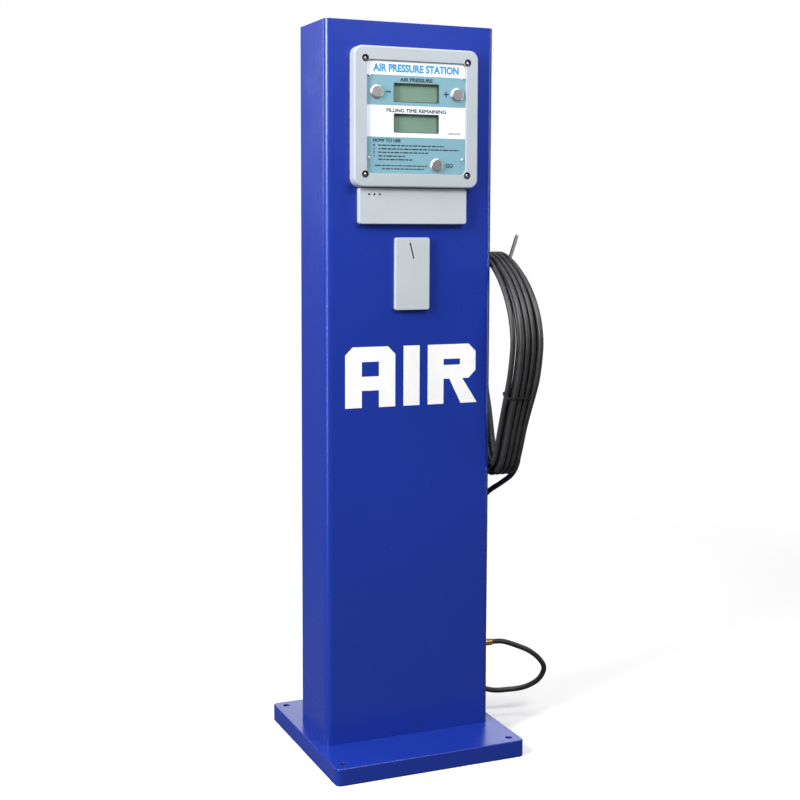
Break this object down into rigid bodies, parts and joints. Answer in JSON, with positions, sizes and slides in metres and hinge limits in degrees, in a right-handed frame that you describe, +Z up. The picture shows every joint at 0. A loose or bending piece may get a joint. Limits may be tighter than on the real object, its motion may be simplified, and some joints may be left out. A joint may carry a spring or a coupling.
{
  "type": "tyre inflator pedestal",
  "caption": "Free-standing tyre inflator: sheet-metal column on a base plate, control head with displays and push buttons, coin slot, rear service door and a coiled air hose on a hook.",
  "frame": {"origin": "centre of the underside of the base plate, on the ground", "axes": "+Z up, -Y out of the front face with the controls, +X towards the side that carries the hose"},
  "size_m": [0.5013, 0.355, 1.3],
  "materials": {
    "blue_paint": "glossy powder coat, deep blue",
    "zinc": "zinc-plated sheet",
    "bright_steel": "satin stainless",
    "grey_plastic": "fine-textured light grey moulding",
    "grey_paint": "satin light grey paint",
    "fascia_print": "printed overlay, teal and white bands",
    "lcd": "grey-green display glass, blank",
    "black_plastic": "moulded black",
    "pcb": "green solder mask",
    "aluminium": "machined",
    "brass": "turned, lightly polished",
    "red_paint": "red dipped handle",
    "rubber": "smooth black hose cover with a slight sheen"
  },
  "bodies": {
    "pedestal": {"base_pan": "blue_paint", "column_shell": "blue_paint", "top_cap": "blue_paint", "base_bottom_plate": "zinc", "coin_shelf": "zinc", "coin_box": "zinc", "mounting_plate": "zinc", "hinge_frame_leaf_upper": "bright_steel", "hinge_pin_upper": "bright_steel", "hinge_frame_leaf_lower": "bright_steel", "hinge_pin_lower": "bright_steel", "bezel_screw_1": "bright_steel", "bezel_screw_2": "bright_steel", "bezel_screw_3": "bright_steel", "bezel_screw_4": "bright_steel", "fascia_screw_1": "bright_steel", "fascia_screw_2": "bright_steel", "fascia_screw_3": "bright_steel", "fascia_screw_4": "bright_steel", "button_body_minus": "bright_steel", "button_body_plus": "bright_steel", "button_body_fill": "bright_steel", "hose_hook": "bright_steel", "hook_nut": "bright_steel", "power_supply": "bright_steel", "control_bezel": "grey_plastic", "breaker_body": "grey_plastic", "lower_cover": "grey_paint", "coin_slot_plate": "grey_paint", "fascia_plate": "fascia_print", "lcd_pressure": "lcd", "lcd_time": "lcd", "control_housing": "black_plastic", "buzzer": "black_plastic", "coin_acceptor": "black_plastic", "filter_regulator": "black_plastic", "fill_solenoid": "black_plastic", "release_solenoid": "black_plastic", "outlet_line": "black_plastic", "hose_tie": "black_plastic", "control_pcb": "pcb", "valve_manifold": "aluminium", "inlet_fitting": "brass", "ball_valve": "brass", "outlet_fitting": "brass", "chuck_body": "brass", "hose_coil": "rubber", "hose_run": "rubber"},
    "door": {"rear_door": "blue_paint", "hinge_door_leaf_upper": "bright_steel", "hinge_door_leaf_lower": "bright_steel", "lock_barrel": "bright_steel", "lock_nut": "zinc"},
    "lock": {"lock_cam": "bright_steel"},
    "minus_button": {"button_cap_minus": "bright_steel"},
    "plus_button": {"button_cap_plus": "bright_steel"},
    "fill_button": {"button_cap_fill": "bright_steel"},
    "valve_handle": {"ball_valve_handle": "red_paint"},
    "breaker_lever": {"breaker_toggle": "black_plastic"},
    "chuck_clip": {"chuck_lever": "bright_steel"}
  },
  "joints": [
    {"name": "door_hinge", "type": "hinge", "parent": "pedestal", "child": "door", "pos_m": [-0.146, 0.065, 0.665], "axis": [0, 0, 1], "range_deg": [0, 110]},
    {"name": "lock_turn", "type": "hinge", "parent": "door", "child": "lock", "pos_m": [0.122, 0.06, 0.7], "axis": [0, 1, 0], "range_deg": [0, 90]},
    {"name": "minus_press", "type": "slide", "parent": "pedestal", "child": "minus_button", "axis": [0, 1, 0], "range_m": [0, 0.0025], "stiffness_N_per_m": 800},
    {"name": "plus_press", "type": "slide", "parent": "pedestal", "child": "plus_button", "axis": [0, 1, 0], "range_m": [0, 0.0025], "stiffness_N_per_m": 800},
    {"name": "fill_press", "type": "slide", "parent": "pedestal", "child": "fill_button", "axis": [0, 1, 0], "range_m": [0, 0.0025], "stiffness_N_per_m": 800},
    {"name": "valve_turn", "type": "hinge", "parent": "pedestal", "child": "valve_handle", "pos_m": [0.07, 0.0285, 0.085], "axis": [0, 1, 0], "range_deg": [0, 90]},
    {"name": "breaker_switch", "type": "hinge", "parent": "pedestal", "child": "breaker_lever", "pos_m": [-0.1462, 0.029, 0.5025], "axis": [1, 0, 0], "range_deg": [-68, 0]},
    {"name": "chuck_press", "type": "hinge", "parent": "pedestal", "child": "chuck_clip", "pos_m": [0.212, 0.0535, 0.5307], "axis": [1, 0, 0], "range_deg": [0, 14], "stiffness_Nm_per_rad": 0.2}
  ]
}
